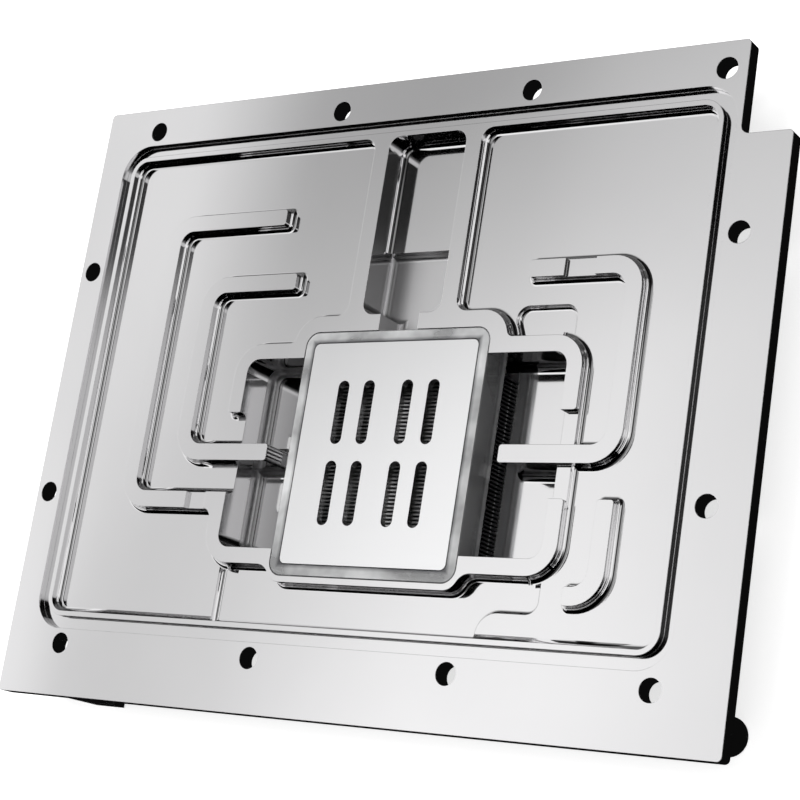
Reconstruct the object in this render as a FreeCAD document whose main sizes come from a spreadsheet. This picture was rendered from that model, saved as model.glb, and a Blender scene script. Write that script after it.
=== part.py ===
import FreeCAD, Part
import Sketcher
import math
import os
from types import SimpleNamespace

# Liquid cooling cold plate, opened: a machined base with its channel relief
# uppermost, and the jet frame and jet plate seated over the microfins.
# Millimetres. The origin is under the middle of the plate, on the plane that
# the back pads stand on, with X along the plate, Y across it and Z up.

SIZES = {
    # Flange
    "plateLength": 166.4,
    "plateWidth": 130.0,
    "flangeThickness": 4.0,
    "edgeChamfer": 0.7,
    "cornerRadius": 0.9,
    "cutoutLength": 10.3,
    "cutoutWidth": 18.6,
    "cutoutRadius": 1.7,
    # Back of the plate
    "backHeight": 8.5,
    "contactMargin": 3.4,
    "contactRadius": 3.0,
    "spineMargin": 3.6,
    "deckDrop": 3.2,
    "deckInset": 1.0,
    "bossDiameter": 7.0,
    "bossRight": 4.85,
    "bossFront": 5.65,
    "footLeft": 6.5,
    "footLength": 18.2,
    "footWidth": 9.0,
    "footSlant": 10.6,
    "footSlantDrop": 1.1,
    # Cover screws
    "screwHole": 4.3,
    "screwDepth": 8.0,
    "screwTop": 5.35,
    "screwBottom": 10.8,
    "screwLeft": 3.3,
    "screwRight": 8.2,
    "screwEndLeft": 15.0,
    "screwEndRight": 14.5,
    "screwMiddle": 45.6,
    "screwSide": 49.7,
    # Seal groove and the floor inside it
    "sealLeft": 6.55,
    "sealRight": 11.35,
    "sealTop": 8.6,
    "sealBottom": 13.9,
    "grooveWidth": 2.6,
    "grooveDepth": 1.6,
    "grooveRadius": 7.0,
    "ridgeWidth": 1.05,
    "floorDepth": 2.25,
    "floorCorner": 3.2,
    # Jet seat, microfins and outlet recesses
    "jetRight": 4.6,
    "jetDown": 13.05,
    "seatLength": 43.5,
    "seatWidth": 49.5,
    "seatDepth": 7.0,
    "seatRadius": 3.0,
    "finField": 38.9,
    "finPitch": 0.78,
    "finGap": 0.4,
    "finHeight": 2.5,
    "recessLeft": 14.0,
    "recessRight": 17.3,
    "recessCorner": 2.8,
    "recessFoot": 1.5,
    # Land round the seat and recesses
    "landWall": 3.2,
    "landCorner": 6.2,
    "landEnd": 0.6,
    "gapReach": 8.3,
    "gapOverlap": 6.9,
    "shoulderWall": 3.35,
    "shoulderLeft": 1.4,
    "shoulderRight": 2.0,
    "shoulderSlope": 1.75,
    "shoulderCorner": 5.9,
    "shoulderFoot": 1.3,
    "rimWall": 1.25,
    "rimOutLeft": 1.1,
    "rimOutRight": 1.4,
    "rimSlope": 2.2,
    "rimCorner": 3.2,
    # Inlet channel
    "inletWidth": 18.5,
    "inletWall": 3.5,
    "inletCorner": 2.6,
    "inletDepth": 5.4,
    "inletDrop": 2.3,
    "inletDeepLength": 14.6,
    "inletFoot": 1.3,
    "throatWidth": 9.2,
    "throatReach": 4.6,
    # Flow ribs
    "ribWidth": 3.45,
    "ribBend": 6.4,
    "ribEnd": 0.6,
    "outerLeg": 62.0,
    "outerArm": 50.15,
    "outerEnd": 32.6,
    "innerLeg": 49.65,
    "innerArm": 35.9,
    "innerEnd": 27.2,
    "rightLeg": 50.7,
    "rightEnd": 28.1,
    "fingerEnd": 27.1,
    "hookArm": 25.85,
    "hookEnd": 44.5,
    "ribRoot": 2.0,
    # Notches in two ribs and the weirs beside the right recess
    "notchDepth": 0.85,
    "notchOverlap": 1.2,
    "leftNotch": 43.55,
    "leftNotchLength": 5.1,
    "rightNotch": 39.0,
    "rightNotchLength": 6.6,
    "weirHeight": 0.62,
    "weirOverlap": 1.2,
    # Outlet channel and the slot above the right recess
    "channelDepth": 3.5,
    "channelFoot": 0.9,
    "channelCorner": 2.6,
    "channelEnd": 26.2,
    "channelBend": 4.3,
    "branchReach": 38.7,
    "branchSide": 29.2,
    "slotStart": 24.3,
    "slotReach": 38.6,
    "slotSide": 29.3,
    # Jet frame and jet plate
    "frameClearance": 0.1,
    "frameWall": 2.3,
    "frameLedge": 1.0,
    "frameCorner": 1.3,
    "jetThickness": 1.5,
    "jetClearance": 0.06,
    "slitLength": 12.8,
    "slitWidth": 2.6,
    "slitFlat": 0.03,
    "slitPitchInner": 9.0,
    "slitPitchOuter": 6.1,
    "slitRowPitch": 16.2,
}

document = FreeCAD.newDocument("ColdPlate")
sheet = document.addObject("Spreadsheet::Sheet", "Sizes")


class Size:
    # A length as a number, with the sheet expression that gives it.
    def __init__(self, value, text):
        self.value = value
        self.text = text

    def __add__(self, other):
        return combine(self, "+", other)

    def __sub__(self, other):
        return combine(self, "-", other)

    def __mul__(self, factor):
        return Size(self.value * factor, "(%s * %s)" % (self.text, factor))

    def __truediv__(self, divisor):
        return Size(self.value / divisor, "(%s / %s)" % (self.text, divisor))

    def __neg__(self):
        return Size(-self.value, "(-%s)" % self.text)


def combine(first, sign, second):
    change = second.value if sign == "+" else -second.value
    return Size(first.value + change, "(%s %s %s)" % (first.text, sign, second.text))


def fillSheet():
    for row, (alias, value) in enumerate(SIZES.items(), start=1):
        sheet.set("A%d" % row, alias)
        sheet.set("B%d" % row, str(value))
        sheet.setAlias("B%d" % row, alias)
    document.recompute()
    named = {alias: Size(float(sheet.get(alias)), "Sizes." + alias) for alias in SIZES}
    return SimpleNamespace(**named)


S = fillSheet()


# ---------- sketches and features ----------

def newBody(name):
    body = document.addObject("PartDesign::Body", name)
    body.Label = name
    body.Placement = FreeCAD.Placement(FreeCAD.Vector(0, 0, 0), FreeCAD.Rotation())
    return body


def newSketch(body, name, height):
    # A sketch parallel to the body's XY plane, at a height from the sheet.
    sketch = body.newObject("Sketcher::SketchObject", name)
    plane = next(f for f in body.Origin.OriginFeatures if f.Role == "XY_Plane")
    sketch.AttachmentSupport = [(plane, "")]
    sketch.MapMode = "FlatFace"
    sketch.setExpression("AttachmentOffset.Base.z", height.text)
    return sketch


def bind(sketch, kind, geometry, size, where=None):
    # Adds a driving constraint and ties it to the sheet.
    if where is None:
        constraint = Sketcher.Constraint(kind, geometry, size.value)
    else:
        constraint = Sketcher.Constraint(kind, -1, 1, geometry, where, size.value)
    index = sketch.addConstraint(constraint)
    sketch.setExpression("Constraints[%d]" % index, size.text)


def drawOutline(sketch, corners):
    # A closed outline through (x, y, radius) corners; a corner with no radius
    # is sharp. Corners run counter-clockwise round the outline.
    count = len(corners)
    points = [FreeCAD.Vector(x.value, y.value, 0) for x, y, radius in corners]
    along = [(points[(i + 1) % count] - points[i]).normalize() for i in range(count)]
    turns = []
    setbacks = []
    for i, (x, y, radius) in enumerate(corners):
        before = along[i - 1]
        turn = math.atan2(before.cross(along[i]).z, before.dot(along[i]))
        turns.append(turn)
        setbacks.append(radius.value * math.tan(abs(turn) / 2) if radius else 0.0)
    lines = []
    for i in range(count):
        after = (i + 1) % count
        start = points[i] + along[i] * setbacks[i]
        end = points[after] - along[i] * setbacks[after]
        lines.append(sketch.addGeometry(Part.LineSegment(start, end), False))
    for i, (x, y, radius) in enumerate(corners):
        before = lines[i - 1]
        if not radius:
            sketch.addConstraint(Sketcher.Constraint("Coincident", before, 2, lines[i], 1))
            bind(sketch, "DistanceX", lines[i], x, 1)
            bind(sketch, "DistanceY", lines[i], y, 1)
            continue
        side = 1 if turns[i] > 0 else -1
        inward = FreeCAD.Vector(-along[i].y, along[i].x, 0) * side
        centre = points[i] + along[i] * setbacks[i] + inward * radius.value
        heading = math.atan2(-inward.y, -inward.x)
        first = heading - turns[i] if side > 0 else heading
        last = heading if side > 0 else heading - turns[i]
        circle = Part.Circle(centre, FreeCAD.Vector(0, 0, 1), radius.value)
        arc = sketch.addGeometry(Part.ArcOfCircle(circle, first, last), False)
        corner = sketch.addGeometry(Part.Point(points[i]), True)
        opening, closing = (1, 2) if side > 0 else (2, 1)
        sketch.addConstraint([
            Sketcher.Constraint("Tangent", before, 2, arc, opening),
            Sketcher.Constraint("Tangent", lines[i], 1, arc, closing),
            Sketcher.Constraint("PointOnObject", corner, 1, before),
            Sketcher.Constraint("PointOnObject", corner, 1, lines[i]),
        ])
        bind(sketch, "DistanceX", corner, x, 1)
        bind(sketch, "DistanceY", corner, y, 1)
        bind(sketch, "Radius", arc, radius)


def drawCircle(sketch, x, y, diameter):
    centre = FreeCAD.Vector(x.value, y.value, 0)
    axis = FreeCAD.Vector(0, 0, 1)
    circle = sketch.addGeometry(Part.Circle(centre, axis, diameter.value / 2), False)
    bind(sketch, "DistanceX", circle, x, 3)
    bind(sketch, "DistanceY", circle, y, 3)
    bind(sketch, "Diameter", circle, diameter)


def rectangle(left, right, bottom, top, radius=None):
    return [(left, bottom, radius), (right, bottom, radius), (right, top, radius), (left, top, radius)]


def ribCorners(path, width, bend, end):
    # The outline of a rib of even width along a path of square turns.
    half = width / 2
    count = len(path)
    steps = []
    for (x0, y0), (x1, y1) in zip(path, path[1:]):
        run = x1.value - x0.value
        rise = y1.value - y0.value
        if abs(rise) > abs(run):
            steps.append((0, 1 if rise > 0 else -1))
        else:
            steps.append((1 if run > 0 else -1, 0))
    right = []
    left = []
    for i, (x, y) in enumerate(path):
        before = steps[max(i - 1, 0)]
        after = steps[min(i, count - 2)]
        turn = before[0] * after[1] - before[1] * after[0]
        if turn == 0:
            across = (-after[1], after[0])
            radii = (end, end)
        else:
            across = (-before[1] - after[1], before[0] + after[0])
            radii = (bend - width, bend) if turn > 0 else (bend, bend - width)
        left.append((x + half * across[0], y + half * across[1], radii[0]))
        right.append((x - half * across[0], y - half * across[1], radii[1]))
    return right + left[::-1]


def feature(body, kind, name, sketch, length):
    made = body.newObject("PartDesign::" + kind, name)
    made.Profile = sketch
    made.setExpression("Length", length.text)
    document.recompute()
    return made


def shapeFrom(body, kind, name, height, length, outlines):
    # A Pad or Pocket of one or more closed outlines.
    sketch = newSketch(body, name + "Sketch", height)
    for corners in outlines:
        drawOutline(sketch, corners)
    return feature(body, kind, name, sketch, length)


def isLevel(edge, height):
    return abs(edge.BoundBox.ZMin - height) < 1e-4 and abs(edge.BoundBox.ZMax - height) < 1e-4


def footEdges(shape, height):
    # Edges at a height where a wall rises from the floor beside it.
    names = []
    for number, edge in enumerate(shape.Edges, start=1):
        if not isLevel(edge, height):
            continue
        faces = shape.ancestorsOfType(edge, Part.Face)
        if any(face.BoundBox.ZMax > height + 0.01 for face in faces):
            names.append((number, edge))
    return names


def roundEdges(body, kind, name, base, numbered, expression, size):
    made = body.newObject("PartDesign::" + kind, name)
    made.Base = (base, ["Edge%d" % number for number, edge in numbered])
    made.setExpression(expression, size.text)
    document.recompute()
    return made


def uprightEdges(shape, places):
    # Upright edges that stand at the given plan points.
    found = []
    for number, edge in enumerate(shape.Edges, start=1):
        box = edge.BoundBox
        if box.ZMax - box.ZMin < 0.1 or box.XMax - box.XMin > 1e-4 or box.YMax - box.YMin > 1e-4:
            continue
        if any(math.hypot(box.XMin - x.value, box.YMin - y.value) < 0.01 for x, y in places):
            found.append((number, edge))
    return found


# ---------- places that several pieces share ----------

ground = Size(0.0, "0")
top = S.backHeight + S.flangeThickness
right = S.plateLength / 2
left = -right
back = S.plateWidth / 2
front = -back

poolInset = S.grooveWidth + S.ridgeWidth
poolLeft = left + S.sealLeft + poolInset
poolRight = right - S.sealRight - poolInset
poolTop = back - S.sealTop - poolInset
poolBottom = front + S.sealBottom + poolInset

jetX = S.jetRight
jetY = -S.jetDown
seatLeft = jetX - S.seatLength / 2
seatRight = jetX + S.seatLength / 2
seatTop = jetY + S.seatWidth / 2
seatBottom = jetY - S.seatWidth / 2
finTop = jetY + S.finField / 2
finBottom = jetY - S.finField / 2
recessEdgeLeft = seatLeft - S.recessLeft
recessEdgeRight = seatRight + S.recessRight
landLeft = recessEdgeLeft - S.landWall
landRight = recessEdgeRight + S.landWall
landTop = finTop + S.landWall
landBottom = finBottom - S.landWall
shoulder = seatTop + S.shoulderWall
rim = seatBottom - S.rimWall
recessDepth = S.seatDepth + S.finHeight
floorLevel = top - S.floorDepth
channelLevel = top - S.channelDepth
recessLevel = top - recessDepth
inletDeep = S.inletDepth + S.inletDrop
inletLeft = jetX - S.inletWidth / 2
inletRight = jetX + S.inletWidth / 2
innerFinger = jetX - S.innerEnd
outerFinger = jetX + S.fingerEnd


# ---------- base plate ----------

def buildFlange(body):
    outline = [
        (left, front, S.cornerRadius),
        (right, front, S.cornerRadius),
        (right, back - S.cutoutWidth, S.cornerRadius),
        (right - S.cutoutLength, back - S.cutoutWidth, S.cutoutRadius),
        (right - S.cutoutLength, back, S.cornerRadius),
        (left, back, S.cornerRadius),
    ]
    shapeFrom(body, "Pad", "Flange", S.backHeight, S.flangeThickness, [outline])


def buildBack(body):
    # The contact pad under the recesses, a spine under the inlet, a thinner
    # deck under the channels, a round boss and a foot beside the front edge.
    contact = rectangle(landLeft - S.contactMargin, landRight + S.contactMargin,
                        seatBottom - S.contactMargin, shoulder + S.contactMargin, S.contactRadius)
    shapeFrom(body, "Pad", "ContactPad", ground, S.backHeight, [contact])
    spine = rectangle(inletLeft - S.spineMargin, inletRight + S.spineMargin,
                      shoulder, poolTop + S.ridgeWidth)
    shapeFrom(body, "Pad", "Spine", ground, S.backHeight, [spine])
    deck = rectangle(poolLeft - S.deckInset, poolRight + S.deckInset,
                     poolBottom - S.deckInset, poolTop + S.deckInset, S.contactRadius)
    shapeFrom(body, "Pad", "Deck", S.backHeight - S.deckDrop, S.deckDrop, [deck])
    sketch = newSketch(body, "BossSketch", ground)
    drawCircle(sketch, right - S.bossRight, front + S.bossFront, S.bossDiameter)
    feature(body, "Pad", "Boss", sketch, S.backHeight)
    footLeft = left + S.footLeft
    footRight = footLeft + S.footLength
    foot = [
        (footLeft, front + S.footSlantDrop, None),
        (footLeft + S.footSlant, front, None),
        (footRight, front, None),
        (footRight, front + S.footWidth, None),
        (footLeft, front + S.footWidth, None),
    ]
    shapeFrom(body, "Pad", "Foot", ground, S.backHeight + S.edgeChamfer, [foot])


def chamferFlange(body):
    # The lower edge of the flange, all round it.
    edges = enumerate(body.Tip.Shape.Edges, start=1)
    numbered = [(number, edge) for number, edge in edges if isLevel(edge, S.backHeight.value)]
    roundEdges(body, "Chamfer", "FlangeChamfer", body.Tip, numbered, "Size", S.edgeChamfer)


def cutGroove(body):
    outer = rectangle(left + S.sealLeft, right - S.sealRight, front + S.sealBottom, back - S.sealTop,
                      S.grooveRadius)
    inner = rectangle(left + S.sealLeft + S.grooveWidth, right - S.sealRight - S.grooveWidth,
                      front + S.sealBottom + S.grooveWidth, back - S.sealTop - S.grooveWidth,
                      S.grooveRadius - S.grooveWidth)
    shapeFrom(body, "Pocket", "SealGroove", top, S.grooveDepth, [outer, inner])


def landOutline():
    # The land left round the jet seat, the recesses and the inlet channel.
    wall = S.inletWidth / 2 + S.inletWall
    inside = S.gapOverlap
    return [
        (jetX - wall, shoulder, S.inletCorner),
        (seatLeft - S.shoulderLeft, shoulder, S.shoulderCorner),
        (seatLeft - S.shoulderLeft - S.shoulderSlope, landTop, S.shoulderFoot),
        (landLeft, landTop, S.landCorner),
        (landLeft, jetY + S.gapReach, S.landEnd),
        (recessEdgeLeft + inside, jetY + S.gapReach, None),
        (recessEdgeLeft + inside, jetY - S.gapReach, None),
        (landLeft, jetY - S.gapReach, None),
        (landLeft, landBottom, S.landCorner),
        (seatLeft - S.rimOutLeft, landBottom, S.rimCorner),
        (seatLeft - S.rimOutLeft + S.rimSlope, rim, S.rimCorner),
        (seatRight + S.rimOutRight - S.rimSlope, rim, S.rimCorner),
        (seatRight + S.rimOutRight, landBottom, S.rimCorner),
        (landRight, landBottom, S.landCorner),
        (landRight, jetY - S.gapReach, S.landEnd),
        (recessEdgeRight - inside, jetY - S.gapReach, None),
        (recessEdgeRight - inside, jetY + S.gapReach, None),
        (landRight, jetY + S.gapReach, S.landEnd),
        (landRight, landTop, S.landCorner),
        (seatRight + S.shoulderRight + S.shoulderSlope, landTop, S.shoulderFoot),
        (seatRight + S.shoulderRight, shoulder, S.shoulderCorner),
        (jetX + wall, shoulder, S.inletCorner),
        (jetX + wall, poolTop + S.ridgeWidth / 2, None),
        (jetX - wall, poolTop + S.ridgeWidth / 2, None),
    ]


def buildRelief(body):
    # The floor inside the seal, then the land and the flow ribs back up from it.
    pool = rectangle(poolLeft, poolRight, poolBottom, poolTop, S.floorCorner)
    shapeFrom(body, "Pocket", "Floor", top, S.floorDepth, [pool])
    shapeFrom(body, "Pad", "Land", floorLevel, S.floorDepth, [landOutline()])
    lowerArm = jetY - S.gapReach - S.ribWidth / 2
    outerRib = [
        (jetX - S.outerEnd, jetY + S.outerArm),
        (jetX - S.outerLeg, jetY + S.outerArm),
        (jetX - S.outerLeg, lowerArm),
        (landLeft + S.ribWidth / 2, lowerArm),
    ]
    innerRib = [
        (innerFinger, jetY + S.innerArm),
        (jetX - S.innerLeg, jetY + S.innerArm),
        (jetX - S.innerLeg, jetY),
        (recessEdgeLeft + S.ribWidth, jetY),
    ]
    rightRib = [
        (jetX + S.rightEnd, jetY + S.innerArm),
        (jetX + S.rightLeg, jetY + S.innerArm),
        (jetX + S.rightLeg, jetY),
        (recessEdgeRight - S.ribWidth, jetY),
    ]
    hookRib = [
        (jetX + S.rightLeg, jetY - S.gapReach),
        (jetX + S.rightLeg, jetY - S.hookArm),
        (jetX + S.hookEnd, jetY - S.hookArm),
    ]
    ribs = {"OuterRib": outerRib, "InnerRib": innerRib, "RightRib": rightRib, "HookRib": hookRib}
    for name, path in ribs.items():
        corners = ribCorners(path, S.ribWidth, S.ribBend, S.ribEnd)
        shapeFrom(body, "Pad", name, floorLevel, S.floorDepth, [corners])


def roundRoots(body):
    # The upright inner corners beside the inlet walls and under the outer rib's arm.
    wall = S.inletWidth / 2 + S.inletWall
    beside = uprightEdges(body.Tip.Shape, [(jetX - wall, poolTop), (jetX + wall, poolTop)])
    roundEdges(body, "Fillet", "InletRoots", body.Tip, beside, "Radius", S.inletCorner)
    under = uprightEdges(body.Tip.Shape, [(landLeft, jetY - S.gapReach - S.ribWidth)])
    roundEdges(body, "Fillet", "RibRoot", body.Tip, under, "Radius", S.ribRoot)


def cutNotches(body):
    # Bypass notches across the tops of two ribs, one in each half of the plate.
    reach = S.ribWidth / 2 + S.notchOverlap
    leftMiddle = jetX - S.leftNotch
    leftArm = jetY - S.gapReach - S.ribWidth / 2
    rightMiddle = jetX + S.rightNotch
    rightArm = jetY + S.innerArm
    outlines = [
        rectangle(leftMiddle - S.leftNotchLength / 2, leftMiddle + S.leftNotchLength / 2,
                  leftArm - reach, leftArm + reach),
        rectangle(rightMiddle - S.rightNotchLength / 2, rightMiddle + S.rightNotchLength / 2,
                  rightArm - reach, rightArm + reach),
    ]
    shapeFrom(body, "Pocket", "RibNotches", top, S.notchDepth, outlines)


def buildWeirs(body):
    # A low sill across both gaps of the land beside the right recess.
    reach = S.gapReach + S.weirOverlap
    sill = rectangle(recessEdgeRight, landRight, jetY - reach, jetY + reach)
    shapeFrom(body, "Pad", "Weirs", floorLevel, S.weirHeight, [sill])


def cutOutlet(body):
    # The outlet channel between the land and the front wall, with its branch.
    outlet = [
        (recessEdgeLeft, poolBottom, None),
        (jetX + S.channelEnd, poolBottom, None),
        (jetX + S.channelEnd, jetY - S.branchSide, S.channelBend),
        (jetX + S.branchReach, jetY - S.branchSide, S.channelCorner),
        (jetX + S.branchReach, landBottom, None),
        (seatRight + S.rimOutRight, landBottom, S.rimCorner),
        (seatRight + S.rimOutRight - S.rimSlope, rim, S.rimCorner),
        (seatLeft - S.rimOutLeft + S.rimSlope, rim, S.rimCorner),
        (seatLeft - S.rimOutLeft, landBottom, S.rimCorner),
        (recessEdgeLeft, landBottom, None),
    ]
    slot = [
        (seatRight + S.shoulderRight + S.shoulderSlope + S.shoulderFoot, landTop, None),
        (jetX + S.slotReach, landTop, None),
        (jetX + S.slotReach, jetY + S.slotSide, S.channelCorner),
        (jetX + S.slotStart, jetY + S.slotSide, S.channelCorner),
    ]
    shapeFrom(body, "Pocket", "OutletChannel", top, S.channelDepth, [outlet])
    shapeFrom(body, "Pocket", "Slot", top, S.channelDepth, [slot])
    feet = footEdges(body.Tip.Shape, channelLevel.value)
    roundEdges(body, "Fillet", "ChannelFoot", body.Tip, feet, "Radius", S.channelFoot)


def cutRecesses(body):
    # The two deep recesses, and the finger that reaches into each of them.
    recess = rectangle(recessEdgeLeft, recessEdgeRight, finBottom, finTop, S.recessCorner)
    shapeFrom(body, "Pocket", "Recesses", top, recessDepth, [recess])
    half = S.ribWidth / 2
    leftFinger = [
        (recessEdgeLeft, jetY - half, None),
        (innerFinger, jetY - half, S.ribEnd),
        (innerFinger, jetY + half, S.ribEnd),
        (recessEdgeLeft, jetY + half, None),
    ]
    rightFinger = [
        (outerFinger, jetY - half, S.ribEnd),
        (recessEdgeRight, jetY - half, None),
        (recessEdgeRight, jetY + half, None),
        (outerFinger, jetY + half, S.ribEnd),
    ]
    shapeFrom(body, "Pad", "Fingers", recessLevel, recessDepth, [leftFinger, rightFinger])


def roundRecesses(body):
    feet = footEdges(body.Tip.Shape, recessLevel.value)
    roundEdges(body, "Fillet", "RecessFoot", body.Tip, feet, "Radius", S.recessFoot)


def cutInlet(body):
    # The inlet channel, its deeper end and the throat under the jet frame.
    channel = rectangle(inletLeft, inletRight, shoulder, poolTop, S.inletCorner)
    shapeFrom(body, "Pocket", "Inlet", top, S.inletDepth, [channel])
    feet = footEdges(body.Tip.Shape, (top - S.inletDepth).value)
    roundEdges(body, "Fillet", "InletFoot", body.Tip, feet, "Radius", S.inletFoot)
    step = shoulder + S.inletDeepLength
    throat = S.throatWidth / 2
    deep = [
        (inletLeft, step, None),
        (inletLeft, shoulder, S.inletCorner),
        (jetX - throat, shoulder, None),
        (jetX - throat, finTop - S.throatReach, None),
        (jetX + throat, finTop - S.throatReach, None),
        (jetX + throat, shoulder, None),
        (inletRight, shoulder, S.inletCorner),
        (inletRight, step, None),
    ]
    shapeFrom(body, "Pocket", "DeepInlet", top, inletDeep, [deep])
    feet = footEdges(body.Tip.Shape, (top - inletDeep).value)
    roundEdges(body, "Fillet", "DeepInletFoot", body.Tip, feet, "Radius", S.inletFoot)


def cutSeat(body):
    # The seat of the jet frame.
    seat = rectangle(seatLeft, seatRight, seatBottom, seatTop, S.seatRadius)
    shapeFrom(body, "Pocket", "JetSeat", top, S.seatDepth, [seat])


def buildFins(body):
    # The microfins, standing on the floor between the recesses.
    start = finBottom + S.recessFoot + S.finGap
    fin = rectangle(seatLeft, seatRight, start, start + S.finPitch - S.finGap)
    first = shapeFrom(body, "Pad", "Fin", recessLevel, S.finHeight, [fin])
    fins = body.newObject("PartDesign::LinearPattern", "Fins")
    fins.Originals = [first]
    fins.Direction = (first.Profile[0], ["V_Axis"])
    fins.Mode = "Spacing"
    fins.setExpression("Offset", S.finPitch.text)
    field = S.finField - S.recessFoot * 2 - S.finGap
    fins.setExpression("Occurrences", "floor(%s / %s)" % (field.text, S.finPitch.text))
    body.Tip = fins
    document.recompute()


def drillScrewHoles(body):
    rows = [back - S.screwTop, front + S.screwBottom]
    middle = (rows[0] + rows[1]) / 2
    columns = [left + S.screwEndLeft, jetX - S.screwMiddle / 2, jetX + S.screwMiddle / 2,
               right - S.screwEndRight]
    places = [(x, row) for row in rows for x in columns]
    for x in (left + S.screwLeft, right - S.screwRight):
        places.append((x, middle + S.screwSide / 2))
        places.append((x, middle - S.screwSide / 2))
    sketch = newSketch(body, "ScrewHolesSketch", top)
    for x, y in places:
        drawCircle(sketch, x, y, S.screwHole)
    feature(body, "Pocket", "ScrewHoles", sketch, S.screwDepth)


def buildJetFrame(body):
    # The clear frame that fills the seat and carries the jet plate on a ledge.
    floor = top - S.seatDepth
    clear = S.frameClearance
    outer = rectangle(seatLeft + clear, seatRight - clear, seatBottom + clear, seatTop - clear,
                      S.seatRadius - clear)
    wall = S.frameWall + clear
    pocket = rectangle(seatLeft + wall, seatRight - wall, seatBottom + wall, seatTop - wall, S.frameCorner)
    inset = wall + S.frameLedge
    opening = rectangle(seatLeft + inset, seatRight - inset, seatBottom + inset, seatTop - inset,
                        S.frameCorner)
    shapeFrom(body, "Pad", "Ring", floor, S.seatDepth, [outer])
    shapeFrom(body, "Pocket", "PlateRebate", top, S.jetThickness, [pocket])
    shapeFrom(body, "Pocket", "Opening", top, S.seatDepth, [opening])


def buildJetPlate(body):
    # The jet plate, flush in the frame, with two rows of slits.
    inset = S.frameClearance + S.frameWall + S.jetClearance
    blank = rectangle(seatLeft + inset, seatRight - inset, seatBottom + inset, seatTop - inset,
                      S.frameCorner - S.jetClearance)
    shapeFrom(body, "Pad", "Blank", top - S.jetThickness, S.jetThickness, [blank])
    slits = []
    offsets = [-S.slitPitchInner / 2 - S.slitPitchOuter, -S.slitPitchInner / 2,
               S.slitPitchInner / 2, S.slitPitchInner / 2 + S.slitPitchOuter]
    half = S.slitWidth / 2
    for row in (-S.slitRowPitch / 2, S.slitRowPitch / 2):
        for offset in offsets:
            middle = jetX + offset
            y = jetY + row
            slits.append(rectangle(middle - half, middle + half, y - S.slitLength / 2,
                                   y + S.slitLength / 2, half - S.slitFlat))
    shapeFrom(body, "Pocket", "Slits", top, S.jetThickness, slits)


def exportPieces(bodies):
    # Stops if a feature or a piece is broken, then writes one file for each piece.
    document.recompute()
    failed = [made.Name for made in document.Objects if {"Invalid", "Error"} & set(made.State)]
    if failed:
        raise RuntimeError("these failed: " + ", ".join(failed))
    for body in bodies:
        shape = body.Shape
        if shape.isNull() or not shape.isValid() or len(shape.Solids) != 1:
            raise RuntimeError(body.Label + " is not one valid solid")
    os.makedirs("parts", exist_ok=True)
    for body in bodies:
        body.Shape.exportStep("parts/%s.step" % body.Label)
        print(body.Label, "volume", round(body.Shape.Volume, 1))


plate = newBody("base_plate")
buildFlange(plate)
chamferFlange(plate)
buildBack(plate)
cutGroove(plate)
buildRelief(plate)
cutInlet(plate)
cutSeat(plate)
cutRecesses(plate)
roundRoots(plate)
cutNotches(plate)
buildWeirs(plate)
cutOutlet(plate)
roundRecesses(plate)
buildFins(plate)
drillScrewHoles(plate)
frame = newBody("jet_frame")
buildJetFrame(frame)
jets = newBody("jet_plate")
buildJetPlate(jets)
exportPieces([plate, frame, jets])
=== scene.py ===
import math
import bmesh
import bpy
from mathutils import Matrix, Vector


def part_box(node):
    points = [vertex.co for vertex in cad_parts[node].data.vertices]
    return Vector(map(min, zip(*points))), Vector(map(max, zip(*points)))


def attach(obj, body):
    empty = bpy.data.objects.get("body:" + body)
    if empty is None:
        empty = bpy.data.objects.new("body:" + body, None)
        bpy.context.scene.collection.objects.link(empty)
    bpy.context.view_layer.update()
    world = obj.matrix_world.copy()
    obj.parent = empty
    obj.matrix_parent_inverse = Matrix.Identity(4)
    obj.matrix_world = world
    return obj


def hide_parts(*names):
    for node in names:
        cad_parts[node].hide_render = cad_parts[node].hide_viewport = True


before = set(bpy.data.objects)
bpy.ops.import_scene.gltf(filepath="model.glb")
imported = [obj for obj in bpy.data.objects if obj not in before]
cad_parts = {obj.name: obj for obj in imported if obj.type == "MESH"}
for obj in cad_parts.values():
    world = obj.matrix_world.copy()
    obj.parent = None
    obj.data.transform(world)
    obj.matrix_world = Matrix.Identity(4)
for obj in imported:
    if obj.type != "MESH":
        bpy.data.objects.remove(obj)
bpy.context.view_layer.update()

scene = bpy.context.scene
scene.view_settings.view_transform = "Standard"
mm = 0.001
plateLow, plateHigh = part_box("base_plate")
jetLow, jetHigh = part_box("jet_plate")
print("frame loaded")


class Wire:  # a node's output; an expression on it adds the Math nodes
    def __init__(self, graph, socket):
        self.graph, self.socket = graph, socket

    def math(self, operation, *values):
        sockets = dict(enumerate((self,) + values))
        return self.graph.add("ShaderNodeMath", {"operation": operation}, sockets)

    def __add__(self, other):
        return self.math("ADD", other)

    def __mul__(self, other):
        return self.math("MULTIPLY", other)

    def __sub__(self, other):
        return self.math("SUBTRACT", other)

    def __rsub__(self, other):
        return self.graph.add("ShaderNodeMath", {"operation": "SUBTRACT"}, {0: other, 1: self})

    def __gt__(self, other):
        return self.math("GREATER_THAN", other)

    def __neg__(self):
        return self * -1

    def clamped(self):
        return self.math("MINIMUM", 1).math("MAXIMUM", 0)

    __radd__ = __add__
    __rmul__ = __mul__


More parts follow.
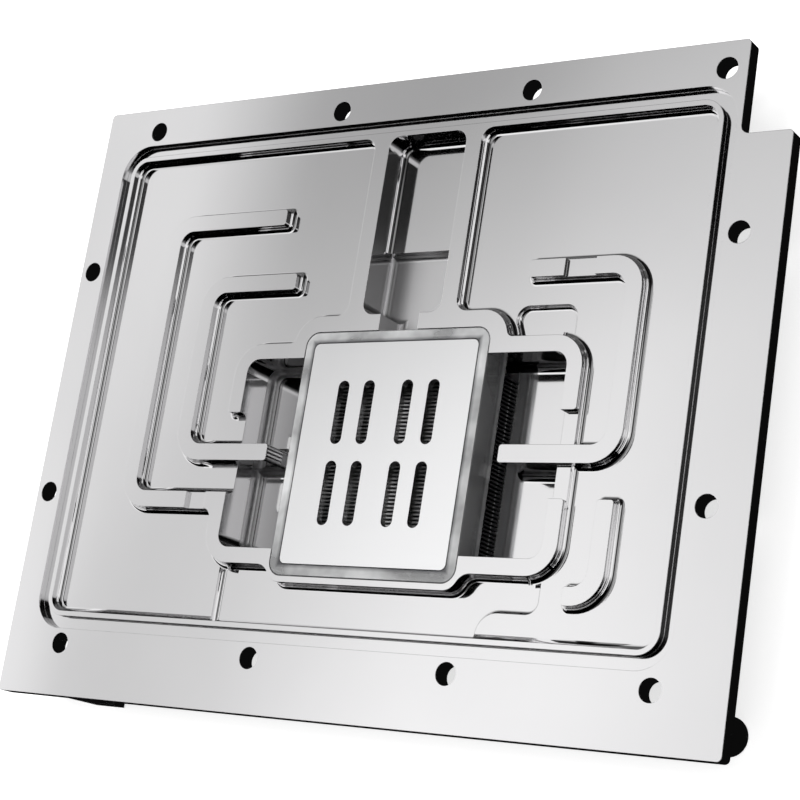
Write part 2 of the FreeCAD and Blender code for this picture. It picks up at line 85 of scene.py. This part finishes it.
class Graph:  # one material's or world's node tree
    def __init__(self, owner):
        owner.use_nodes = True
        self.tree = owner.node_tree
        self.tree.nodes.clear()

    def add(self, kind, settings=None, sockets=None, out=0):
        node = self.tree.nodes.new(kind)
        for name, value in (settings or {}).items():
            if name == "stops":
                ramp = node.color_ramp
                while len(ramp.elements) < len(value):
                    ramp.elements.new(0.5)
                for element, (place, tone) in zip(ramp.elements, value):
                    element.position = place
                    element.color = tone if isinstance(tone, tuple) else (tone, tone, tone, 1)
            else:
                setattr(node, name, value)
        for name, value in (sockets or {}).items():
            if isinstance(value, Wire):
                self.tree.links.new(value.socket, node.inputs[name])
            else:
                node.inputs[name].default_value = value
        return Wire(self, node.outputs[out]) if node.outputs else None

    def place(self):
        node = self.add("ShaderNodeTexCoord")
        return Wire(self, node.socket.node.outputs["Object"])

    def noise(self, scale, detail, stretch=(1, 1, 1)):
        spread = self.add("ShaderNodeMapping", {}, {"Vector": self.place(), "Scale": stretch})
        sockets = {"Vector": spread, "Scale": scale, "Detail": detail}
        return self.add("ShaderNodeTexNoise", {}, sockets)

    def ramp(self, value, stops):
        return self.add("ShaderNodeValToRGB", {"stops": stops}, {"Fac": value})

    def mix(self, amount, first, second):
        sockets = {0: amount, 6: first, 7: second}
        return self.add("ShaderNodeMix", {"data_type": "RGBA"}, sockets, out=2)

    def surface(self, shader):
        self.add("ShaderNodeOutputMaterial", {}, {"Surface": shader})


def newMaterial(name):
    material = bpy.data.materials.new(name)
    return material, Graph(material)


def setMaterial(piece, material):
    if piece.material_slots:
        for slot in piece.material_slots:
            slot.material = material
    else:
        piece.data.materials.append(material)


def newPiece(name, mesh, material):
    piece = bpy.data.objects.new(name, mesh)
    scene.collection.objects.link(piece)
    setMaterial(piece, material)
    return piece


nickel = {
    "colour": (0.86, 0.855, 0.86, 1),
    "shade": (0.78, 0.775, 0.785, 1),
    "cloudScale": 28.0,
    "lappingScale": 900.0,
    "lappingStretch": (1.0, 0.08, 0.4),
    "speckScale": 2600.0,
    "roughLow": 0.045,
    "roughHigh": 0.11,
    "edgeRound": 0.12 * mm,
    "grain": 0.005,
    "grainDepth": 0.02 * mm,
    "finRoughness": 0.26,
    "finTop": plateHigh.z - 6.9 * mm,
    "finFoot": plateHigh.z - 9.45 * mm,
    "finEnd": jetHigh.x + 8.0 * mm,
    # painted shade: the fin cuts past the jet plate's right edge are coloured near black
    "paintedShadeFrom": jetHigh.x + 1.0 * mm,
    "paintedShadeShare": 1.0,
    "paintedShadeTone": (0.03, 0.03, 0.032, 1),
}


def nickelPlating(name, softened):
    material, g = newMaterial(name)
    cloud = g.noise(nickel["cloudScale"], 4.0)
    lapping = g.noise(nickel["lappingScale"], 3.0, stretch=nickel["lappingStretch"])
    specks = g.noise(nickel["speckScale"], 2.0)
    colour = g.mix(cloud, nickel["shade"], nickel["colour"])
    roughRange = nickel["roughHigh"] - nickel["roughLow"]
    roughness = nickel["roughLow"] + roughRange * (cloud * 0.6 + lapping * 0.4)
    split = g.add("ShaderNodeSeparateXYZ", {}, {0: g.place()})
    height = Wire(g, split.socket.node.outputs[2])
    across = Wire(g, split.socket.node.outputs[0])
    # between these levels the cut faces are duller; beside the jet frame, past the jet plate's
    # right edge, a painted shade, near black, is mixed into their colour
    cut = (height > nickel["finFoot"]) * (nickel["finTop"] - height > 0)
    cut = cut * (nickel["finEnd"] - across > 0)
    roughness = roughness + cut * nickel["finRoughness"] * (0.7 + cloud * 0.6)
    paintedShadeMask = cut * (across > nickel["paintedShadeFrom"]) * nickel["paintedShadeShare"]
    colour = g.mix(paintedShadeMask, colour, nickel["paintedShadeTone"])
    bump = {
        "Strength": nickel["grain"], "Distance": nickel["grainDepth"],
        "Height": lapping * 0.7 + specks * 0.3}
    if softened:  # a hair of rounding on the plate's own edges
        bump["Normal"] = g.add("ShaderNodeBevel", {"samples": 6}, {"Radius": nickel["edgeRound"]})
    grain = g.add("ShaderNodeBump", {}, bump)
    g.surface(g.add("ShaderNodeBsdfPrincipled", {}, {
        "Base Color": colour, "Metallic": 1.0, "Roughness": roughness, "Normal": grain}))
    return material


steel = {
    "colour": (0.98, 0.98, 0.985, 1),
    "shade": (0.93, 0.93, 0.94, 1),
    "cloudScale": 40.0,
    "rollingScale": 1400.0,
    "rollingStretch": (0.06, 1.0, 1.0),
    "roughLow": 0.10,
    "roughHigh": 0.20,
    "edgeRound": 0.08 * mm,
    "grain": 0.03,
    "grainDepth": 0.02 * mm,
}


def polishedSteel():
    material, g = newMaterial("polishedSteel")
    cloud = g.noise(steel["cloudScale"], 3.0)
    rolling = g.noise(steel["rollingScale"], 3.0, stretch=steel["rollingStretch"])
    colour = g.mix(cloud, steel["shade"], steel["colour"])
    roughRange = steel["roughHigh"] - steel["roughLow"]
    roughness = steel["roughLow"] + roughRange * (cloud * 0.5 + rolling * 0.5)
    edges = g.add("ShaderNodeBevel", {"samples": 6}, {"Radius": steel["edgeRound"]})
    grain = g.add("ShaderNodeBump", {}, {
        "Strength": steel["grain"], "Distance": steel["grainDepth"],
        "Height": rolling, "Normal": edges})
    g.surface(g.add("ShaderNodeBsdfPrincipled", {}, {
        "Base Color": colour, "Metallic": 1.0, "Roughness": roughness, "Normal": grain}))
    return material


plastic = {
    "colour": (0.97, 0.975, 0.98, 1),
    "index": 1.49,
    "waveScale": 220.0,
    "waveDepth": 0.05 * mm,
    "waveStrength": 0.15,
    "hazeScale": 90.0,
    "clarity": 0.86,
    "seenThrough": 0.92,
    "cloudiness": 0.16,
    "milkiness": 0.26,
    "patchiness": 0.55,
    "patchFrom": 0.38,
    "patchGain": 3.2,
    # painted shade line along the frame's inner edge, mixed in by position
    "paintedLineReach": 0.9 * mm,
    "paintedLineBase": 0.65,
    "paintedLineUneven": 0.5,
    "paintedLineMost": 0.92,
    "paintedLineTone": (0.05, 0.05, 0.055, 1),
    "levelFrom": 0.985,
    "edgeRound": 0.15 * mm,
    "bodyRough": (0.03, 0.08),  # least, and what the haze adds
    "milkRough": (0.12, 0.10),
    "paintedLineRough": (0.15, 0.10),
}


def clearPlastic():
    def hazy(rough):
        return rough[0] + haze * rough[1]

    material, g = newMaterial("clearPlastic")
    waves = g.noise(plastic["waveScale"], 2.0)
    haze = g.noise(plastic["hazeScale"], 3.0)
    edges = g.add("ShaderNodeBevel", {"samples": 6}, {"Radius": plastic["edgeRound"]})
    ripple = g.add("ShaderNodeBump", {}, {
        "Strength": plastic["waveStrength"], "Distance": plastic["waveDepth"],
        "Height": waves, "Normal": edges})
    body = g.add("ShaderNodeBsdfPrincipled", {}, {
        "Base Color": plastic["colour"], "Roughness": hazy(plastic["bodyRough"]),
        "IOR": plastic["index"], "Transmission Weight": plastic["clarity"], "Normal": ripple})
    milk = g.add("ShaderNodeBsdfPrincipled", {}, {
        "Base Color": plastic["colour"], "Roughness": hazy(plastic["milkRough"]),
        "IOR": plastic["index"]})
    clear = g.add("ShaderNodeBsdfTransparent", {}, {"Color": plastic["colour"]})
    patches = ((haze - plastic["patchFrom"]) * plastic["patchGain"]).clamped()
    milkShare = plastic["milkiness"] + patches * plastic["patchiness"]
    through = g.add("ShaderNodeMixShader", {}, {0: milkShare, 1: clear, 2: milk})
    # level faces let the seat show straight through; walls and rounded edges bend the view
    geometry = g.add("ShaderNodeNewGeometry")
    tilt = g.add("ShaderNodeSeparateXYZ", {}, {0: Wire(g, geometry.socket.node.outputs["Normal"])})
    upward = Wire(g, tilt.socket.node.outputs[2])
    isLevel = upward.math("ABSOLUTE") > plastic["levelFrom"]
    share = isLevel * (plastic["seenThrough"] - haze * plastic["cloudiness"])
    ring = g.add("ShaderNodeMixShader", {}, {0: share, 1: body, 2: through})
    # a painted shade line: a near-black finish is mixed in along the inner edge, unevenly, and
    # most at the corners
    place = g.add("ShaderNodeSeparateXYZ", {}, {0: g.place()}).socket.node.outputs
    centre, half = (jetLow + jetHigh) / 2, (jetHigh - jetLow) / 2
    away = [(Wire(g, place[i]) - centre[i]).math("ABSOLUTE") - half[i] for i in (0, 1)]
    reach = 1 - away[0].math("MAXIMUM", away[1]) * (1 / plastic["paintedLineReach"])
    paintedLineMask = reach.clamped() * (plastic["paintedLineBase"] + (1 - patches) * plastic["paintedLineUneven"])
    paintedLineMask = paintedLineMask.math("MINIMUM", plastic["paintedLineMost"])
    paintedLineShader = g.add("ShaderNodeBsdfPrincipled", {}, {
        "Base Color": plastic["paintedLineTone"], "Roughness": hazy(plastic["paintedLineRough"])})
    g.surface(g.add("ShaderNodeMixShader", {}, {0: paintedLineMask, 1: ring, 2: paintedLineShader}))
    return material


platingFinish = nickelPlating("mirrorNickel", True)
coveFinish = nickelPlating("mirrorNickelCove", False)
steelFinish = polishedSteel()
plasticFinish = clearPlastic()
setMaterial(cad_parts["base_plate"], platingFinish)
setMaterial(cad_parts["jet_plate"], steelFinish)
setMaterial(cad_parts["jet_frame"], plasticFinish)
print("finishes made")


# small roundings where ribs and pocket walls meet the channel floor
cove = {
    "floorLevel": plateHigh.z - 2.25 * mm,
    "radius": 1.2 * mm,
    "steps": 10,
    "mostMitre": 1.6,
    "leastCosine": 0.05,
    "sameTurn": 0.8,  # cosine under which two edges keep their own shading
    "weld": 0.0005 * mm,
    "levelSlack": 0.002 * mm,
    "leastWall": 0.1 * mm,
    "flatFrom": 0.999,
    "wallUnder": 0.9,
}


def footEdges(mesh, level):
    merged = bmesh.new()
    merged.from_mesh(mesh)
    bmesh.ops.remove_doubles(merged, verts=merged.verts, dist=cove["weld"])
    found = []
    for edge in merged.edges:
        if len(edge.link_faces) != 2:
            continue
        if any(abs(v.co.z - level) > cove["levelSlack"] for v in edge.verts):
            continue
        flat = [f for f in edge.link_faces if f.normal.z > cove["flatFrom"]]
        walls = [f for f in edge.link_faces if f.normal.z < cove["wallUnder"]]
        if len(flat) != 1 or len(walls) != 1:
            continue
        if max(v.co.z for v in walls[0].verts) < level + cove["leastWall"]:
            continue
        a, b = (v.co.copy() for v in edge.verts)
        along = (b - a).normalized()
        inward = flat[0].calc_center_median() - a
        inward -= along * inward.dot(along)
        inward.z = 0
        found.append((edge.verts[0].index, edge.verts[1].index, a, b, inward.normalized()))
    merged.free()
    return found


def chains(edges):
    at = {}
    for number, edge in enumerate(edges):
        for end in edge[:2]:
            at.setdefault(end, []).append(number)
    used = set()
    result = []

    def walk(start, number):
        path, here = [], start
        while number is not None and number not in used:
            used.add(number)
            first, second, a, b, inward = edges[number]
            if here == first:
                path.append((a, b, inward))
                here = second
            else:
                path.append((b, a, inward))
                here = first
            following = [n for n in at[here] if n not in used]
            number = following[0] if len(at[here]) == 2 and following else None
        return path, here

    for end, numbers in sorted(at.items()):
        if len(numbers) != 2:
            for number in numbers:
                if number not in used:
                    result.append((walk(end, number)[0], False))
    for number in range(len(edges)):
        if number not in used:
            path, last = walk(edges[number][0], number)
            result.append((path, last == edges[number][0]))
    return result


def coveMesh(paths, radius, steps):
    verts, faces, normals = [], [], []
    for path, closed in paths:
        places = [p[0] for p in path] + ([] if closed else [path[-1][1]])
        count = len(places)
        rings = []
        for i, place in enumerate(places):
            before = path[i - 1][2] if i > 0 or closed else path[0][2]
            after = path[i][2] if i < len(path) else path[-1][2]
            middle = (before + after).normalized()
            stretch = min(1 / max(middle.dot(after), cove["leastCosine"]), cove["mostMitre"])
            ring = [len(verts)]
            verts.append(place)
            ringNormals = [None]
            for step in range(steps + 1):
                angle = math.pi * (1 + 0.5 * step / steps)
                out = radius + radius * math.cos(angle)
                up = radius + radius * math.sin(angle)
                ring.append(len(verts))
                verts.append(place + middle * out * stretch + Vector((0, 0, up)))
                ringNormals.append((-math.cos(angle), -math.sin(angle), before, after))
            rings.append((ring, ringNormals))
        pairs = range(count if closed else count - 1)
        for i in pairs:
            ringA, normalsA = rings[i]
            ringB, normalsB = rings[(i + 1) % count]
            inward = path[i][2]
            along = (path[i][1] - path[i][0]).cross(inward).z
            for j in range(len(ringA)):
                k = (j + 1) % len(ringA)
                face = [ringA[j], ringB[j], ringB[k], ringA[k]]
                ends = [(normalsA[j], "A"), (normalsB[j], "B"),
                        (normalsB[k], "B"), (normalsA[k], "A")]
                if along < 0:
                    face.reverse()
                    ends.reverse()
                faces.append(face)
                if 0 < j < len(ringA) - 1:
                    corner = []
                    for entry, side in ends:
                        other = entry[2] if side == "A" else entry[3]
                        apart = other.dot(inward) < cove["sameTurn"]
                        near = inward if apart else (other + inward).normalized()
                        corner.append((near * entry[0] + Vector((0, 0, entry[1]))).normalized())
                    normals.append(corner)
                else:
                    normals.append(None)
        if not closed:
            for ring, backwards in ((rings[0][0], along > 0), (rings[-1][0], along < 0)):
                faces.append(list(reversed(ring)) if backwards else list(ring))
                normals.append(None)
    mesh = bpy.data.meshes.new("channelCoves")
    mesh.from_pydata([tuple(v) for v in verts], [], faces)
    mesh.update()
    flat = []
    for polygon, corner in zip(mesh.polygons, normals):
        polygon.use_smooth = True
        flat += corner if corner else [polygon.normal.copy()] * len(polygon.vertices)
    mesh.normals_split_custom_set(flat)
    return mesh


coveEdges = footEdges(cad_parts["base_plate"].data, cove["floorLevel"])
covePaths = chains(coveEdges)
coveShape = coveMesh(covePaths, cove["radius"], cove["steps"])
coves = newPiece("channel_coves", coveShape, coveFinish)
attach(coves, "root")
print("coves:", len(coveEdges), "edges in", len(covePaths), "runs")


jetFrame = {
    "lift": 0.04 * mm,
    "edgeRound": 0.55 * mm,
    "roundSteps": 3,
    "roundFrom": 40,
    "sharpFrom": 32,
    "weld": 0.0005 * mm,
    "bottomSlack": 0.001 * mm,
    "mergeAngle": 0.002,
}


def clearFrame():
    # the frame's own solid, lifted clear of its seat, with its edges rounded
    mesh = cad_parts["jet_frame"].data.copy()
    shape = bmesh.new()
    shape.from_mesh(mesh)
    bmesh.ops.remove_doubles(shape, verts=shape.verts, dist=jetFrame["weld"])
    bmesh.ops.dissolve_limit(
        shape, angle_limit=jetFrame["mergeAngle"], verts=shape.verts, edges=shape.edges)
    bottom = min(v.co.z for v in shape.verts)
    for v in shape.verts:
        if v.co.z < bottom + jetFrame["bottomSlack"]:
            v.co.z += jetFrame["lift"]
    shape.to_mesh(mesh)
    shape.free()
    mesh.attributes.remove(mesh.attributes["custom_normal"])
    piece = newPiece("clear_frame", mesh, plasticFinish)
    rounding = piece.modifiers.new("rounding", "BEVEL")
    rounding.width = jetFrame["edgeRound"]
    rounding.segments = jetFrame["roundSteps"]
    rounding.limit_method = "ANGLE"
    rounding.angle_limit = math.radians(jetFrame["roundFrom"])
    rounding.harden_normals = True
    for polygon in mesh.polygons:
        polygon.use_smooth = True
    mesh.set_sharp_from_angle(angle=math.radians(jetFrame["sharpFrom"]))
    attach(piece, "root")
    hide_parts("jet_frame")
    return piece


clearFrame()
print("jet frame made")


studio = {
    "floorColour": (0.80, 0.80, 0.80, 1),
    "floorShade": (0.79, 0.79, 0.79, 1),
    "floorScale": 3.0,
    "floorGlow": 0.68,
    "floorSize": 6.0,
    "worldDiffuse": 0.60,
    "worldSeen": 1.0,
    "ceiling": 0.62,
    "reach": (-1.7, 1.5),
    "depth": (-1.5, 1.5),
    "cardFoot": 0.001,
    "frontTone": 0.0,
    "backTone": 0.15,
    "underTone": 0.004,
    "underMargin": 0.60,
    "underHeight": 0.0003,
}

softbox = {
    "span": (-0.75, -0.15),
    "farRow": [(0.0, 0.76), (0.07, 0.75), (0.19, 0.78), (0.28, 0.57), (0.347, 0.41),
               (0.50, 0.375), (0.625, 0.41), (0.726, 0.50), (0.87, 0.54), (0.94, 0.56),
               (1.0, 0.04)],
    "nearRow": [(0.0, 0.95), (0.07, 0.90), (0.14, 0.62), (0.20, 0.60), (0.32, 0.72),
                (0.42, 0.84), (0.58, 0.97), (0.75, 0.93), (0.87, 0.84), (0.94, 0.80),
                (1.0, 0.04)],
    "rows": (-0.15, 0.65),
    "skewFrom": -0.35,
    "skew": 0.35,
    "farShare": [(0.0, 0.0), (0.19, 0.0), (0.42, 0.30), (0.55, 0.72), (0.68, 1.0)],
    "fade": [(0.0, 0.0), (0.02, 0.0), (0.045, 1.0), (0.72, 1.0), (0.95, 0.18)],
    "power": 1.13,
}

rightSide = {
    "span": (-0.20, 1.4),
    "row": [(0.0, 0.0), (0.06, 0.30), (0.20, 0.34), (0.26, 0.04), (0.38, 0.02),
            (0.394, 0.06), (0.407, 0.14), (0.435, 0.58), (0.50, 0.62), (0.75, 0.80),
            (1.0, 1.0)],
    "rows": (-0.3, 0.5),
    "share": [(0.0, 0.0), (0.25, 0.3), (0.40, 1.0), (0.64, 1.0), (0.70, 0.70),
              (0.73, 0.08), (1.0, 0.03)],
}


def seenRays(g):
    path = g.add("ShaderNodeLightPath")
    outputs = path.socket.node.outputs
    names = ("Is Camera Ray", "Is Glossy Ray", "Is Transmission Ray")
    seen = [Wire(g, outputs[name]) for name in names]
    return seen[0].math("MAXIMUM", seen[1]).math("MAXIMUM", seen[2])


def makeWorld():
    world = bpy.data.worlds.new("studioWorld")
    scene.world = world
    g = Graph(world)
    extra = studio["worldSeen"] - studio["worldDiffuse"]
    background = g.add("ShaderNodeBackground", {}, {
        "Color": (1, 1, 1, 1), "Strength": studio["worldDiffuse"] + extra * seenRays(g)})
    g.add("ShaderNodeOutputWorld", {}, {"Surface": background})


def sheet(name, corners, material, floor=False):
    mesh = bpy.data.meshes.new(name)
    mesh.from_pydata(corners, [], [(0, 1, 2, 3)])
    piece = newPiece(name, mesh, material)
    if not floor:  # a card that only the reflections see
        piece.visible_camera = False
        piece.visible_diffuse = False
        piece.visible_shadow = False
    return piece


def level(low, high, height):
    return [(low[0], low[1], height), (high[0], low[1], height),
            (high[0], high[1], height), (low[0], high[1], height)]


def makeFloor():
    material, g = newMaterial("paleFloor")
    mottle = g.noise(studio["floorScale"], 2.0)
    colour = g.mix(mottle, studio["floorShade"], studio["floorColour"])
    paint = g.add("ShaderNodeBsdfDiffuse", {}, {"Color": colour})
    glow = g.add("ShaderNodeEmission", {}, {
        "Color": (1, 1, 1, 1), "Strength": seenRays(g) * studio["floorGlow"]})
    g.surface(g.add("ShaderNodeAddShader", {}, {0: paint, 1: glow}))
    half = studio["floorSize"] / 2
    sheet("studioFloor", level((-half, -half), (half, half), 0), material, floor=True)


def along(value, span):
    return (value - span[0]) * (1 / (span[1] - span[0]))


def makeCeiling():
    # a graded softbox over the left of the plate, dark overhead, paler again to the right
    material, g = newMaterial("gradedCeiling")
    split = g.add("ShaderNodeSeparateXYZ", {}, {0: g.place()})
    u = Wire(g, split.socket.node.outputs[0])
    v = Wire(g, split.socket.node.outputs[1])
    across = along(u, softbox["span"])
    upward = along(v + (softbox["skewFrom"] - u) * softbox["skew"], softbox["rows"])
    far = g.ramp(across, softbox["farRow"])
    near = g.ramp(across, softbox["nearRow"])
    box = g.mix(g.ramp(upward, softbox["farShare"]), near, far)
    box = g.mix(g.ramp(along(v, softbox["rows"]), softbox["fade"]), (0, 0, 0, 1), box)
    side = g.ramp(along(u, rightSide["span"]), rightSide["row"])
    side = g.mix(g.ramp(along(v, rightSide["rows"]), rightSide["share"]), (0, 0, 0, 1), side)
    tone = g.mix(u > softbox["span"][1], box, side)
    g.surface(g.add("ShaderNodeEmission", {}, {"Color": tone, "Strength": softbox["power"]}))
    low = (studio["reach"][0], studio["depth"][0])
    high = (studio["reach"][1], studio["depth"][1])
    sheet("gradedCeiling", level(low, high, plateHigh.z + studio["ceiling"]), material)


def plainCard(name, tone):
    material, g = newMaterial(name)
    g.surface(g.add("ShaderNodeEmission", {}, {"Color": (1, 1, 1, 1), "Strength": tone}))
    return material


def upright(name, y, tone):
    low, high = studio["reach"]
    top = plateHigh.z + studio["ceiling"]
    foot = studio["cardFoot"]
    corners = [(low, y, foot), (high, y, foot), (high, y, top), (low, y, top)]
    sheet(name, corners, plainCard(name, tone))


def floorFlag():  # keeps the pale floor out of the walls' reflections
    margin = studio["underMargin"]
    low = (plateLow.x - margin, plateLow.y - margin)
    high = (plateHigh.x + margin, plateHigh.y + margin)
    sheet("floorFlag", level(low, high, studio["underHeight"]),
          plainCard("floorFlag", studio["underTone"]))


makeWorld()
makeFloor()
makeCeiling()
upright("frontFlag", studio["depth"][0], studio["frontTone"])
upright("backFlag", studio["depth"][1], studio["backTone"])
floorFlag()

lampSettings = {"name": "softLamp", "place": (-0.5, 0.3, 0.9), "size": 0.8, "power": 8.0}


def softLamp(settings):
    data = bpy.data.lights.new(settings["name"], "AREA")
    data.shape = "SQUARE"
    data.size = settings["size"]
    data.energy = settings["power"]
    lamp = bpy.data.objects.new(settings["name"], data)
    scene.collection.objects.link(lamp)
    lamp.location = settings["place"]
    lamp.rotation_mode = "QUATERNION"
    lamp.rotation_quaternion = (-Vector(settings["place"])).to_track_quat("-Z", "Y")
    lamp.visible_glossy = False
    return lamp


softLamp(lampSettings)
print("studio made")


view = {
    "place": (0.22915, -0.09437, 0.31756),
    "turn": (19.693, 33.349, 10.546),
    "lens": 91.14,
    "sensor": 36.0,
    "clip": (0.01, 20),
}

cameraData = bpy.data.cameras.new("studioCamera")
cameraData.lens = view["lens"]
cameraData.sensor_width = view["sensor"]
cameraData.clip_start, cameraData.clip_end = view["clip"]
camera = bpy.data.objects.new("studioCamera", cameraData)
scene.collection.objects.link(camera)
camera.location = view["place"]
camera.rotation_euler = [math.radians(a) for a in view["turn"]]
scene.camera = camera
print("camera set")
